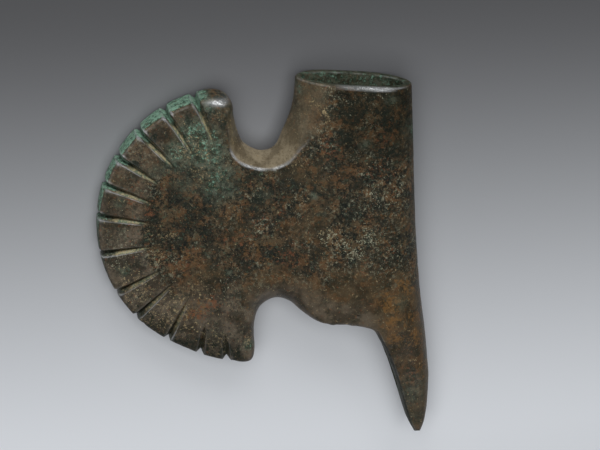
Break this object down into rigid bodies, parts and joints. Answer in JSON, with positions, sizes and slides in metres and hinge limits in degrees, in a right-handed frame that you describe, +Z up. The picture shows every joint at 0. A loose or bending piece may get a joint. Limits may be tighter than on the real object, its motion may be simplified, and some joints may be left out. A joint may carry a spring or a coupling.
{
  "type": "shaft-hole axe head",
  "caption": "Cast bronze shaft-hole axe head: a fan-shaped blade with a grooved, scalloped edge, a deep bay and a neck, an oval socket for a haft, and a tapering spike below it.",
  "frame": {"origin": "middle of the object's footprint, at the level of the ground it lies on", "axes": "+Y runs up along the shaft hole to the socket's mouth, +X points from the blade's edge to the socket's back, +Z points up through the casting's thickness"},
  "size_m": [0.1114, 0.1262, 0.024],
  "materials": {
    "bronze": "satin dark brown bronze with green corrosion in the grooves and hollows"
  },
  "bodies": {
    "root": {"axe_head": "bronze"}
  },
  "joints": []
}
